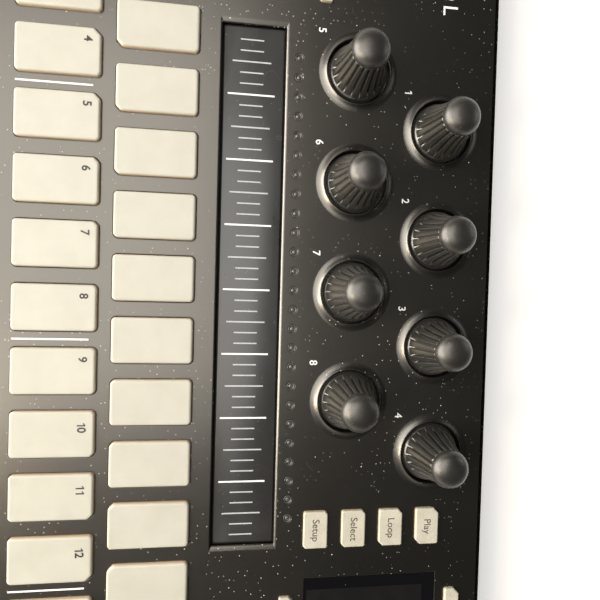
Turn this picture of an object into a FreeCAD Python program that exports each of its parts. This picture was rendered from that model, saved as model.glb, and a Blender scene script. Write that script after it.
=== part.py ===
import FreeCAD, Part
import math
import os
import re
import Sketcher

# A slim desktop controller: 32 staggered pads, eight endless knobs, a touch
# strip, a display and a few buttons, in a two-shell case.
# Frame: X to the player's right, Y away from the player, Z up.  The origin is
# under the middle of the case, on the plane of the rubber feet.  Millimetres.

DIMENSIONS = {
    # case
    "case_width": 360.0,
    "case_depth": 179.0,
    "base_height": 2.0,
    "seam_height": 7.0,
    "panel_top": 20.0,
    "panel_thickness": 2.4,
    "wall_thickness": 2.2,
    "floor_thickness": 2.0,
    "corner_radius": 6.0,
    "edge_bevel": 2.4,
    "base_bevel": 1.2,
    "lip_gap": 0.15,
    "lip_thickness": 1.2,
    "lip_rise": 1.5,
    # pads and buttons
    "pad_pitch": 21.2,
    "pad_width": 15.6,
    "pad_depth": 27.0,
    "pad_rise": 1.2,
    "pad_travel": 0.6,
    "upper_row": -33.3,
    "lower_row": -65.0,
    "upper_cut_least": 0.7,
    "upper_cut_growth": 0.28,
    "lower_cut_least": 0.8,
    "lower_cut_growth": 0.35,
    "pad_corner": 0.85,
    "pad_ease": 0.4,
    "key_gap": 0.3,
    "key_bevel": 0.5,
    "flange_lip": 0.9,
    "flange_height": 1.0,
    "flange_play": 0.1,
    "button_width": 13.3,
    "button_depth": 8.8,
    "slim_depth": 5.6,
    "soft_width": 17.2,
    "soft_left": 105.4,
    "soft_right": 131.8,
    "soft_back_row": 77.3,
    "soft_front_row": 15.1,
    "octave_down": -140.2,
    "octave_up": -121.6,
    "octave_row": 23.2,
    "right_column": 162.5,
    "button_rise": 1.0,
    "button_travel": 0.8,
    "button_cut": 1.5,
    "mode_cut_growth": 0.3,
    "soft_cut": 2.0,
    "button_corner": 0.5,
    "button_ease": 0.2,
    "stem_radius": 1.5,
    "stem_play": 0.1,
    "switch_side": 6.0,
    "switch_height": 0.9,
    "mode_column": 72.8,
    "mode_first": 24.9,
    "mode_pitch": 13.93,
    # knobs
    "knob_pitch": 39.2,
    "back_knobs_middle": -13.4,
    "front_knobs_middle": -32.6,
    "back_knobs_row": 67.2,
    "front_knobs_row": 35.8,
    "collar_radius": 14.6,
    "collar_mouth": 11.4,
    "collar_height": 1.0,
    "collar_cove": 4.7,
    "cove_dip": 0.02,
    "cup_wall": 1.2,
    "cup_floor_top": 16.6,
    "cup_floor_bottom": 15.0,
    "skirt_radius": 10.5,
    "shaft_radius": 2.98,
    "bore_radius": 3.0,
    "bushing_radius": 3.5,
    "knob_bottom": 17.4,
    # touch strip and its row of lights
    "strip_middle": -13.6,
    "strip_row": -1.05,
    "strip_length": 185.8,
    "strip_breadth": 23.5,
    "strip_end_slope": 1.9,
    "strip_side_slope": 0.85,
    "strip_sink": 1.1,
    "strip_plate": 1.5,
    "strip_ledge": 1.5,
    "light_row": 14.6,
    "light_middle": -13.1,
    "light_pitch": 6.8,
    "light_radius": 1.42,
    "light_hole": 1.5,
    "light_bar_breadth": 4.0,
    "light_bar_height": 2.0,
    # display
    "display_middle": 118.6,
    "display_row": 46.0,
    "window_width": 56.0,
    "window_depth": 49.4,
    "window_plate": 1.5,
    "window_ledge": 1.5,
    "window_gap": 0.1,
    # boards
    "board_thickness": 1.6,
    "main_board_bottom": 7.6,
    "main_board_width": 346.0,
    "main_board_depth": 98.0,
    "main_board_row": 34.9,
    "pad_board_width": 350.0,
    "pad_board_depth": 60.0,
    "film_thickness": 0.25,
    "film_play": 0.05,
    "encoder_side": 12.4,
    "encoder_top": 14.8,
    "bushing_rise": 2.4,
    "shaft_play": 0.05,
    "shaft_reach": 10.5,
    "module_width": 50.0,
    "module_depth": 44.0,
    "module_bottom": 14.0,
    "module_height": 3.4,
    "standoff_radius": 1.5,
    # fasteners, feet
    "post_radius": 2.5,
    "boss_radius": 4.0,
    "boss_top": 7.5,
    "post_bottom": 7.6,
    "pilot_depth": 7.4,
    "pillar_radius": 2.2,
    "pilot_radius": 1.22,
    "screw_radius": 1.2,
    "screw_head_radius": 2.75,
    "screw_head_height": 1.8,
    "screw_head_top": 4.4,
    "screw_length": 9.5,
    "drive_length": 2.6,
    "drive_breadth": 0.6,
    "drive_depth": 0.7,
    "foot_radius": 7.0,
    "foot_edge": 0.6,
    "foot_recess": 0.4,
    # rear socket
    "socket_place": -130.0,
    "socket_width": 9.0,
    "socket_height": 3.2,
    "socket_depth": 7.4,
    "socket_wall": 0.3,
    "socket_gap": 0.3,
    "tongue_width": 6.6,
    "tongue_depth": 5.6,
    "tongue_height": 0.7,
}
PADS_PER_ROW = 16
LIGHTS = 25
KNOBS_PER_ROW = 4
SCREW_PLACES = [(-165, -83), (0, -83), (165, -83), (-150, -10), (135, -10),
                (-165, 80.8), (25.8, 80.8), (165, 80.8)]
FOOT_PLACES = [(-160, -66), (160, -66), (-160, 66), (160, 66)]
PAD_BOARD_PILLARS = [-142, -79, -26, 26, 79, 142]
MAIN_BOARD_PILLARS = [(-120, 60), (-60, 50), (60, 50), (150, 60), (-90, 5), (90, -8)]

doc = FreeCAD.newDocument("pad_controller")
sheet = doc.addObject("Spreadsheet::Sheet", "Dimensions")
for row, (alias, value) in enumerate(DIMENSIONS.items(), start=1):
    sheet.set(f"A{row}", alias)
    sheet.set(f"B{row}", str(value))
    sheet.setAlias(f"B{row}", alias)
doc.recompute()

nodes = []


def cells(text):
    """The expression text with every alias pointed at the spreadsheet."""
    def point(word):
        name = word.group(0)
        return "Dimensions." + name if name in DIMENSIONS else name
    return re.sub(r"[a-z_]+", point, str(text))


def bind(piece, **expressions):
    for name, text in expressions.items():
        piece.setExpression(name.replace("_at_", "Placement.Base."), cells(text))
    return piece


def place(piece, x=0, y=0, z=0):
    return bind(piece, _at_x=x, _at_y=y, _at_z=z)


def block(name, length, width, height, x, y, z):
    """A box centred on x, y and standing on z."""
    box = doc.addObject("Part::Box", name)
    bind(box, Length=length, Width=width, Height=height)
    return place(box, f"({x}) - ({length}) / 2", f"({y}) - ({width}) / 2", z)


def cylinder(name, radius, height, x, y, z):
    return place(bind(doc.addObject("Part::Cylinder", name), Radius=radius, Height=height), x, y, z)


def cone(name, low_radius, high_radius, height, x, y, z):
    piece = doc.addObject("Part::Cone", name)
    bind(piece, Radius1=low_radius, Radius2=high_radius, Height=height)
    return place(piece, x, y, z)


def gather(name, pieces):
    group = doc.addObject("Part::Compound", name)
    group.Links = pieces
    return group


def fuse(name, pieces):
    joined = doc.addObject("Part::MultiFuse", name)
    joined.Shapes = pieces
    return joined


def cut(name, base, tool):
    result = doc.addObject("Part::Cut", name)
    result.Base = base
    result.Tool = tool
    return result


def node(piece, label):
    piece.Label = label
    nodes.append(piece)


def new_body(name):
    return doc.addObject("PartDesign::Body", name)


def sketch_on(body, name, role, offset="0"):
    """A sketch on one of the body's own origin planes, raised by an offset."""
    sketch = body.newObject("Sketcher::SketchObject", name)
    plane = next(f for f in body.Origin.OriginFeatures if f.Role == role)
    sketch.AttachmentSupport = [(plane, "")]
    sketch.MapMode = "FlatFace"
    sketch.setExpression("AttachmentOffset.Base.z", cells(offset))
    return sketch


def outline(sketch, points):
    """A closed polygon whose corners are all bound to the spreadsheet."""
    count = len(points)
    first = sketch.GeometryCount
    values = [(sheet_value(x), sheet_value(y)) for x, y in points]
    for i in range(count):
        start = FreeCAD.Vector(*values[i], 0)
        end = FreeCAD.Vector(*values[(i + 1) % count], 0)
        sketch.addGeometry(Part.LineSegment(start, end), False)
    for i in range(count):
        after = first + (i + 1) % count
        sketch.addConstraint(Sketcher.Constraint("Coincident", first + i, 2, after, 1))
    for i, point in enumerate(points):
        for kind, text, value in zip(("DistanceX", "DistanceY"), point, values[i]):
            number = sketch.addConstraint(
                Sketcher.Constraint(kind, -1, 1, first + i, 1, value))
            sketch.setExpression(f"Constraints[{number}]", cells(text))
    return sketch


def sheet_value(text):
    """The present value of an expression, for a sketch's first drawing."""
    return float(sheet.evalExpression(cells(text)))


def rectangle(sketch, width, depth):
    x = f"({width}) / 2"
    y = f"({depth}) / 2"
    return outline(sketch, [(f"-{x}", f"-{y}"), (x, f"-{y}"), (x, y), (f"-{x}", y)])


def pad_feature(body, name, sketch, length, down=False):
    feature = body.newObject("PartDesign::Pad", name)
    feature.Profile = sketch
    feature.Reversed = down
    return bind(feature, Length=length)


def upright_edges(shape):
    names = []
    for number, edge in enumerate(shape.Edges, start=1):
        direction = edge.tangentAt(edge.FirstParameter)
        if abs(direction.z) > 0.99 and len(edge.Vertexes) == 2:
            names.append(f"Edge{number}")
    return names


def flat_face(shape, top=True):
    """The name of the highest, or the lowest, level face."""
    pick = max if top else min
    level = pick(face.CenterOfMass.z for face in shape.Faces)
    for number, face in enumerate(shape.Faces, start=1):
        if abs(face.CenterOfMass.z - level) < 1e-4:
            return f"Face{number}"


def dress(body, kind, edges, size):
    """A Fillet or Chamfer feature on the body's tip."""
    base = body.Tip
    feature = body.newObject("PartDesign::" + kind, body.Name + "_" + kind)
    feature.Base = (base, edges)
    bind(feature, **{"Radius" if kind == "Fillet" else "Size": size})
    doc.recompute()
    return feature


def rounded_slab(name, width, depth, low, height, radius):
    """An upright-cornered slab: the start of a case shell or of its hollow."""
    body = new_body(name)
    pad_feature(body, name + "_slab", rectangle(sketch_on(body, name + "_plan", "XY_Plane", low),
                                                width, depth), height)
    doc.recompute()
    dress(body, "Fillet", upright_edges(body.Tip.Shape), radius)
    return body


# --- pads and buttons -------------------------------------------------------

# how much deeper a corner is cut when its outline grows, to keep an even gap
EVEN_CUT = 2 - math.sqrt(2)
# how far in from the sides a cut's eased ends start, as a share of the ease
EASE_INSET = 0.7


def cornered(size, cuts, ease, right_hand, grow="0"):
    """A rectangle with each corner cut off and both ends of the cut eased.  The
    cuts go front left, front right, back right, back left; a right-hand key is
    the mirror image."""
    width, depth = size
    points = []
    for cut_size, side, front in zip(cuts, (-1, 1, 1, -1), (-1, -1, 1, 1)):
        x = f"({width}) / 2 + {grow}"
        y = f"({depth}) / 2 + {grow}"
        c = f"({cut_size} + {EVEN_CUT} * {grow})"
        inset = f"{EASE_INSET} * {ease}"
        turn = [(f"{side} * ({x} - {c} - {ease})", f"{front} * ({y})"),
                (f"{side} * ({x} - {c} + {inset})", f"{front} * ({y} - {inset})"),
                (f"{side} * ({x} - {inset})", f"{front} * ({y} - {c} + {inset})"),
                (f"{side} * ({x})", f"{front} * ({y} - {c} - {ease})")]
        points += reversed(turn) if side == front else turn
    if right_hand:
        points = [(f"-({px})", py) for px, py in reversed(points)]
    return points


# how far a cutting tool runs past the face that it leaves by
BEYOND = "5"
KEY_BOTTOM = "(panel_top - panel_thickness - flange_play - flange_height)"
UNDER_PANEL = "(panel_top - panel_thickness)"
MAIN_TOP = "(main_board_bottom + board_thickness)"
PAD_BOARD_BOTTOM = f"({KEY_BOTTOM} - pad_travel - film_play - film_thickness - board_thickness)"


def key(label, size, cuts, ease, right_hand, rise, x, y, stem=False):
    """A key with a flange that stops under the panel and, on a button, a stem
    that reaches down to its switch."""
    body = new_body(label + "_key")
    flange = sketch_on(body, label + "_flange_plan", "XY_Plane")
    outline(flange, cornered(size, cuts, ease, right_hand, "flange_lip"))
    pad_feature(body, label + "_flange", flange, "flange_height")
    plan = sketch_on(body, label + "_plan", "XY_Plane")
    outline(plan, cornered(size, cuts, ease, right_hand))
    pad_feature(body, label + "_block", plan,
                f"flange_height + flange_play + panel_thickness + {rise}")
    doc.recompute()
    dress(body, "Chamfer", [flat_face(body.Tip.Shape)], "key_bevel")
    if stem:
        foot = sketch_on(body, label + "_stem_plan", "XY_Plane")
        foot.addGeometry(Part.Circle(FreeCAD.Vector(), FreeCAD.Vector(0, 0, 1), 1.0), False)
        foot.addConstraint(Sketcher.Constraint("Coincident", 0, 3, -1, 1))
        radius = foot.addConstraint(Sketcher.Constraint("Radius", 0, 1.0))
        foot.setExpression(f"Constraints[{radius}]", cells("stem_radius"))
        pad_feature(body, label + "_stem", foot,
                    f"{KEY_BOTTOM} - {MAIN_TOP} - switch_height - button_travel - stem_play",
                    down=True)
    place(body, x, y, KEY_BOTTOM)
    node(body, label)
    return key_hole(label, size, cuts, ease, right_hand, x, y)


def key_hole(label, size, cuts, ease, right_hand, x, y):
    """The panel opening that a key stands in, as a tool for the cut."""
    plan = doc.addObject("Sketcher::SketchObject", label + "_hole_plan")
    outline(plan, cornered(size, cuts, ease, right_hand, "key_gap"))
    place(plan, x, y, f"{UNDER_PANEL} - {BEYOND}")
    hole = doc.addObject("Part::Extrusion", label + "_hole")
    hole.Base = plan
    hole.DirMode = "Normal"
    hole.Solid = True
    return bind(hole, LengthFwd=f"panel_thickness + 2 * {BEYOND}")


def pads(label, row, shift):
    """A row of pads.  On each, one corner beside the gap between the rows is cut
    deeper than the others, and more so towards the ends of the row."""
    holes = []
    for number in range(1, PADS_PER_ROW + 1):
        step = number - (PADS_PER_ROW + 1) / 2
        deep = f"{row}_cut_least + {row}_cut_growth * {abs(step)}"
        plain = "pad_corner"
        cuts = (plain, deep, plain, plain) if row == "upper" else (plain, plain, plain, deep)
        holes.append(key(f"{label}_{number:02d}", ("pad_width", "pad_depth"), cuts,
                         "pad_ease", step > 0, "pad_rise",
                         f"pad_pitch * ({step} {shift})", row + "_row"))
    return holes


BUTTONS = {
    # label: (width, depth, corner cut, x, y)
    "octave_down_button": ("button_width", "slim_depth", "button_cut", "octave_down",
                           "octave_row"),
    "octave_up_button": ("button_width", "slim_depth", "button_cut", "octave_up",
                         "octave_row"),
    "shift_button": ("button_width", "slim_depth", "soft_cut", "right_column", "soft_front_row"),
}
for order, label in enumerate(["menu_button", "select_button", "loop_button", "play_button"]):
    BUTTONS[label] = ("button_width", "button_depth",
                      f"button_cut + mode_cut_growth * {order - 2}", "mode_column",
                      f"mode_first + mode_pitch * {order}")
for side in ("left", "right"):
    for row in ("back", "front"):
        BUTTONS[f"soft_button_{row}_{side}"] = ("soft_width", "slim_depth", "soft_cut",
                                                "soft_" + side, f"soft_{row}_row")

key_holes = pads("pad_upper", "upper", "- 0.25") + pads("pad_lower", "lower", "+ 0.25")
for label, (width, depth, corner_cut, x, y) in BUTTONS.items():
    key_holes.append(key(label, (width, depth),
                         ("button_corner", corner_cut, "button_corner", corner_cut),
                         "button_ease", False, "button_rise", x, y, stem=True))

# --- knobs ------------------------------------------------------------------

KNOB_PLACES = {"data_knob": ("right_column", "display_row")}
for number in range(1, KNOBS_PER_ROW + 1):
    run = f"knob_pitch * {number - (KNOBS_PER_ROW + 1) / 2}"
    KNOB_PLACES[f"knob_{number}"] = ("back_knobs_middle + " + run, "back_knobs_row")
    KNOB_PLACES[f"knob_{number + KNOBS_PER_ROW}"] = ("front_knobs_middle + " + run,
                                                     "front_knobs_row")

# radius and height above the knob's bottom, from the bore's mouth round the
# skirt, up the tapered grip and over the domed cap to the blind end of the bore
KNOB_PROFILE = [("bore_radius", "0"), ("skirt_radius", "0"), ("skirt_radius", "3.6"),
                ("9.9", "3.9"), ("6.3", "16.7"), ("6.6", "17.0"), ("6.5", "19.6"),
                ("5.9", "21.3"), ("4.5", "22.4"), ("2.4", "22.85"), ("0", "22.9"),
                ("0", "10.6"), ("bore_radius", "10.6")]
SHAFT_BOTTOM = f"({MAIN_TOP} + 0.4)"


def knob(label, x, y):
    body = new_body(label + "_cap")
    profile = outline(sketch_on(body, label + "_profile", "XZ_Plane"), KNOB_PROFILE)
    turn = body.newObject("PartDesign::Revolution", label + "_turn")
    turn.Profile = profile
    turn.ReferenceAxis = (profile, ["V_Axis"])
    turn.Angle = 360
    place(body, x, y, "knob_bottom")
    shaft = cylinder(label + "_shaft", "shaft_radius",
                     f"knob_bottom + shaft_reach - {SHAFT_BOTTOM}",
                     x, y, SHAFT_BOTTOM)
    node(gather(label + "_group", [body, shaft]), label)


for label, (x, y) in KNOB_PLACES.items():
    knob(label, x, y)

# --- top case ---------------------------------------------------------------

shell = rounded_slab("top_shell", "case_width", "case_depth", "seam_height",
                     "panel_top - seam_height", "corner_radius")
dress(shell, "Chamfer", [flat_face(shell.Tip.Shape)], "edge_bevel")
hollow = rounded_slab("top_hollow", "case_width - 2 * wall_thickness",
                      "case_depth - 2 * wall_thickness", "seam_height - 1",
                      "panel_top - seam_height - panel_thickness + 1",
                      "corner_radius - wall_thickness")
top_skin = cut("top_skin", shell, hollow)


def collar(label, x, y):
    """A ring round a knob's mouth whose outer side sweeps up in a hollow curve."""
    ring = cylinder(label + "_ring", "collar_radius", "panel_thickness / 2 + collar_height",
                    x, y, "panel_top - panel_thickness / 2")
    cove = doc.addObject("Part::Torus", label + "_cove")
    bind(cove, Radius1="collar_radius", Radius2="collar_cove")
    place(cove, x, y, "panel_top + collar_cove - cove_dip")
    return cut(label + "_collar", ring, cove)


added = [top_skin]
removed = key_holes
for label, (x, y) in KNOB_PLACES.items():
    added.append(cylinder(label + "_cup", "collar_mouth + cup_wall",
                          "panel_top - cup_floor_bottom", x, y, "cup_floor_bottom"))
    added.append(collar(label, x, y))
    removed.append(cylinder(label + "_mouth", "collar_mouth",
                            f"panel_top + collar_height - cup_floor_top + {BEYOND}", x, y,
                            "cup_floor_top"))
    removed.append(cylinder(label + "_bushing_hole", "bushing_radius + 0.1",
                            f"2 * {BEYOND}", x, y, f"cup_floor_bottom - {BEYOND}"))
for number, (x, y) in enumerate(SCREW_PLACES, start=1):
    added.append(cylinder(f"post_{number}", "post_radius",
                          "panel_top - post_bottom - panel_thickness / 2", x, y, "post_bottom"))
    removed.append(cylinder(f"pilot_{number}", "pilot_radius", f"pilot_depth + {BEYOND}", x, y,
                            f"post_bottom - {BEYOND}"))
for number in range(LIGHTS):
    step = number - (LIGHTS - 1) / 2
    removed.append(cylinder(f"light_hole_{number}", "light_hole",
                            f"panel_thickness + 2 * {BEYOND}",
                            f"light_middle + light_pitch * {step}", "light_row",
                            f"{UNDER_PANEL} - {BEYOND}"))


def flare(name, levels, x, y, z):
    """A block whose sides open outwards through levels of (length, breadth, height)."""
    body = new_body(name)
    plans = []
    for number, (length, breadth, height) in enumerate(levels):
        plan = sketch_on(body, f"{name}_level_{number}", "XY_Plane", height)
        plans.append(rectangle(plan, length, breadth))
    loft = body.newObject("PartDesign::AdditiveLoft", name + "_loft")
    loft.Profile = plans[0]
    loft.Sections = plans[1:]
    loft.Ruled = True
    return place(body, x, y, z)


STRIP_FLOOR_LENGTH = "strip_length - 2 * strip_end_slope"
STRIP_FLOOR_BREADTH = "strip_breadth - 2 * strip_side_slope"
WINDOW_BOTTOM = "panel_top - window_gap - window_plate"
# the opening's rounded edge, as shares of its depth and of how far it spreads
ROUNDING = [(0, 0), (0.42, 0.08), (0.68, 0.24), (0.87, 0.54), (1, 1)]
mouth = []
for rise, spread in ROUNDING:
    mouth.append((f"{STRIP_FLOOR_LENGTH} + 2 * strip_end_slope * {spread}",
                  f"{STRIP_FLOOR_BREADTH} + 2 * strip_side_slope * {spread}",
                  f"strip_sink * {rise}"))
removed.append(flare("strip_mouth", mouth, "strip_middle", "strip_row",
                     "panel_top - strip_sink"))
removed.append(block("strip_seat", f"{STRIP_FLOOR_LENGTH} + 2 * strip_ledge",
                     f"{STRIP_FLOOR_BREADTH} + 2 * strip_ledge", BEYOND,
                     "strip_middle", "strip_row", f"panel_top - strip_sink - {BEYOND}"))
removed.append(block("window_seat", "window_width", "window_depth", BEYOND,
                     "display_middle", "display_row", WINDOW_BOTTOM))
removed.append(block("window_hole", "window_width - 2 * window_ledge",
                     "window_depth - 2 * window_ledge", f"2 * {BEYOND}",
                     "display_middle", "display_row", f"panel_top - {BEYOND}"))
removed.append(block("socket_hole", "socket_width + 2 * socket_gap", f"2 * {BEYOND}",
                     "socket_height + 2 * socket_gap", "socket_place", "case_depth / 2",
                     f"{MAIN_TOP} - socket_gap"))
node(cut("top_case_cut", fuse("top_case_whole", added), gather("top_case_tools", removed)),
     "top_case")

# --- bottom case ------------------------------------------------------------

tray = rounded_slab("tray", "case_width", "case_depth", "base_height",
                    "seam_height - base_height", "corner_radius")
dress(tray, "Chamfer", [flat_face(tray.Tip.Shape, top=False)], "base_bevel")
tray_hollow = rounded_slab("tray_hollow", "case_width - 2 * wall_thickness",
                           "case_depth - 2 * wall_thickness", "base_height + floor_thickness",
                           f"2 * {BEYOND}", "corner_radius - wall_thickness")
lip = rounded_slab("lip", "case_width - 2 * (wall_thickness + lip_gap)",
                   "case_depth - 2 * (wall_thickness + lip_gap)",
                   "base_height + floor_thickness / 2",
                   "seam_height - base_height - floor_thickness / 2 + lip_rise",
                   "corner_radius - wall_thickness")
lip_hollow = rounded_slab("lip_hollow",
                          "case_width - 2 * (wall_thickness + lip_gap + lip_thickness)",
                          "case_depth - 2 * (wall_thickness + lip_gap + lip_thickness)",
                          "base_height + floor_thickness", f"2 * {BEYOND}",
                          "corner_radius - wall_thickness - lip_thickness")
PILLAR_ROOT = "(base_height + floor_thickness / 2)"
PAD_BOARD_ROW = "(upper_row + lower_row) / 2"
tray_parts = [cut("tray_skin", tray, tray_hollow), cut("lip_skin", lip, lip_hollow)]
tray_tools = []
for number, (x, y) in enumerate(SCREW_PLACES, start=1):
    tray_parts.append(cylinder(f"boss_{number}", "boss_radius", "boss_top - base_height", x, y,
                               "base_height"))
    tray_tools.append(cylinder(f"head_hole_{number}", "screw_head_radius + 0.25", BEYOND,
                               x, y, f"screw_head_top - {BEYOND}"))
    tray_tools.append(cylinder(f"screw_hole_{number}", "screw_radius + 0.4",
                               f"boss_top + {BEYOND}", x, y, "0"))
for number, x in enumerate(PAD_BOARD_PILLARS, start=1):
    tray_parts.append(cylinder(f"pad_pillar_{number}", "pillar_radius",
                               f"{PAD_BOARD_BOTTOM} - {PILLAR_ROOT}", x, PAD_BOARD_ROW,
                               PILLAR_ROOT))
for number, (x, y) in enumerate(MAIN_BOARD_PILLARS, start=1):
    tray_parts.append(cylinder(f"main_pillar_{number}", "pillar_radius",
                               f"main_board_bottom - {PILLAR_ROOT}", x, y, PILLAR_ROOT))
for number, (x, y) in enumerate(FOOT_PLACES, start=1):
    tray_tools.append(cylinder(f"foot_recess_{number}", "foot_radius + 0.1",
                               f"foot_recess + {BEYOND}", x, y, f"base_height - {BEYOND}"))
tray_tools.append(block("socket_notch", "socket_width + 4", f"2 * {BEYOND}", BEYOND,
                        "socket_place", "case_depth / 2", "seam_height"))
node(cut("bottom_case_cut", fuse("bottom_case_whole", tray_parts),
         gather("bottom_case_tools", tray_tools)), "bottom_case")

# --- fasteners and feet -----------------------------------------------------

HEAD_BOTTOM = "(screw_head_top - screw_head_height)"
screws = []
for number, (x, y) in enumerate(SCREW_PLACES, start=1):
    head = cylinder(f"screw_head_{number}", "screw_head_radius", "screw_head_height", x, y,
                    HEAD_BOTTOM)
    shank = cylinder(f"screw_shank_{number}", "screw_radius",
                     "screw_length + screw_head_height / 2", x, y,
                     "screw_head_top - screw_head_height / 2")
    drive = block(f"screw_drive_{number}", "drive_length", "drive_breadth",
                  f"drive_depth + {BEYOND}", x, y, f"{HEAD_BOTTOM} - {BEYOND}")
    cross = block(f"screw_cross_{number}", "drive_breadth", "drive_length",
                  f"drive_depth + {BEYOND}", x, y, f"{HEAD_BOTTOM} - {BEYOND}")
    screws.append(cut(f"screw_{number}", fuse(f"screw_blank_{number}", [head, shank]),
                      fuse(f"screw_recess_{number}", [drive, cross])))
node(gather("screw_group", screws), "case_screws")

feet = []
for number, (x, y) in enumerate(FOOT_PLACES, start=1):
    low = cone(f"foot_edge_{number}", "foot_radius - foot_edge", "foot_radius", "foot_edge",
               x, y, "0")
    high = cylinder(f"foot_disc_{number}", "foot_radius",
                    "base_height + foot_recess - foot_edge", x, y, "foot_edge")
    feet.append(fuse(f"foot_{number}", [low, high]))
node(gather("foot_group", feet), "rubber_feet")

# --- touch strip, lights and display ----------------------------------------

node(block("strip_cover", f"{STRIP_FLOOR_LENGTH} + 2 * strip_ledge - 0.2",
           f"{STRIP_FLOOR_BREADTH} + 2 * strip_ledge - 0.2", "strip_plate", "strip_middle",
           "strip_row", "panel_top - strip_sink - strip_plate"), "touch_strip")

guide = [block("light_bar", f"light_pitch * {LIGHTS} + 1", "light_bar_breadth",
               "light_bar_height", "light_middle", "light_row + 0.2",
               f"{UNDER_PANEL} - light_bar_height")]
for number in range(LIGHTS):
    step = number - (LIGHTS - 1) / 2
    guide.append(cylinder(f"light_{number}", "light_radius", "panel_thickness + 0.3",
                          f"light_middle + light_pitch * {step}", "light_row",
                          f"{UNDER_PANEL} - 0.5"))
node(fuse("light_guide_whole", guide), "light_guide")

node(block("window", "window_width - 2 * window_gap", "window_depth - 2 * window_gap",
           "window_plate", "display_middle", "display_row", WINDOW_BOTTOM),
     "display_window")

# --- electronics ------------------------------------------------------------

main_plate = block("main_plate", "main_board_width", "main_board_depth", "board_thickness",
                   "0", "main_board_row", "main_board_bottom")
post_holes = []
for number, (x, y) in enumerate(SCREW_PLACES, start=1):
    post_holes.append(cylinder(f"board_hole_{number}", "boss_radius + 0.4",
                               f"2 * {BEYOND}", x, y, f"main_board_bottom - {BEYOND}"))
pad_plate = block("pad_plate", "pad_board_width", "pad_board_depth", "board_thickness", "0",
                  PAD_BOARD_ROW, PAD_BOARD_BOTTOM)
film = block("pad_sensor_film", "pad_board_width", "pad_board_depth", "film_thickness", "0",
             PAD_BOARD_ROW, f"{PAD_BOARD_BOTTOM} + board_thickness")
electronics = [cut("main_board", main_plate, gather("board_holes", post_holes)), pad_plate, film]
for label, (x, y) in KNOB_PLACES.items():
    housing = block(label + "_encoder_box", "encoder_side", "encoder_side",
                    f"encoder_top - {MAIN_TOP}", x, y, MAIN_TOP)
    bushing = cylinder(label + "_bushing", "bushing_radius",
                       f"encoder_top - {MAIN_TOP} + bushing_rise", x, y, MAIN_TOP)
    bore = cylinder(label + "_encoder_bore", "shaft_radius + shaft_play",
                    f"encoder_top - {MAIN_TOP} + {BEYOND}", x, y,
                    f"{SHAFT_BOTTOM} - shaft_play")
    electronics.append(cut(label + "_encoder", fuse(label + "_housing", [housing, bushing]), bore))
for label, (width, depth, corner_cut, x, y) in BUTTONS.items():
    electronics.append(block(label + "_switch", "switch_side", "switch_side", "switch_height",
                             x, y, MAIN_TOP))
electronics.append(block("display_module", "module_width", "module_depth", "module_height",
                         "display_middle", "display_row", "module_bottom"))
for side in (-1, 1):
    for end in (-1, 1):
        electronics.append(cylinder(f"display_standoff_{side + 1}{end + 1}",
                                    "standoff_radius", f"module_bottom - {MAIN_TOP}",
                                    f"display_middle + {side} * (module_width / 2 - 3)",
                                    f"display_row + {end} * (module_depth / 2 - 3)", MAIN_TOP))
SOCKET_FACE = "(case_depth / 2 - socket_gap)"
socket_shell = block("socket_shell", "socket_width", "socket_depth", "socket_height",
                     "socket_place", f"{SOCKET_FACE} - socket_depth / 2", MAIN_TOP)
socket_room = block("socket_room", "socket_width - 2 * socket_wall", "socket_depth",
                    "socket_height - 2 * socket_wall", "socket_place",
                    f"{SOCKET_FACE} - socket_depth / 2 + 1", f"{MAIN_TOP} + socket_wall")
socket_tongue = block("socket_tongue", "tongue_width", "tongue_depth", "tongue_height",
                      "socket_place", f"{SOCKET_FACE} - 1 - tongue_depth / 2",
                      f"{MAIN_TOP} + (socket_height - tongue_height) / 2")
electronics.append(fuse("usb_socket", [cut("socket_tube", socket_shell, socket_room),
                                       socket_tongue]))
node(gather("electronics_group", electronics), "circuit_boards")

# --- check and write --------------------------------------------------------

doc.recompute()
for piece in doc.Objects:
    if "Invalid" in piece.State or "Error" in piece.State:
        raise RuntimeError(f"{piece.Name} failed: {piece.State}")
for piece in nodes:
    if piece.Shape.isNull() or not piece.Shape.isValid():
        raise RuntimeError(f"{piece.Label} has no valid shape")
os.makedirs("parts", exist_ok=True)
for piece in nodes:
    piece.Shape.exportStep(f"parts/{piece.Label}.step")
print(len(nodes), "nodes written")
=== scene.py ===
import math

import bpy
from mathutils import Matrix, Vector


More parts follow.
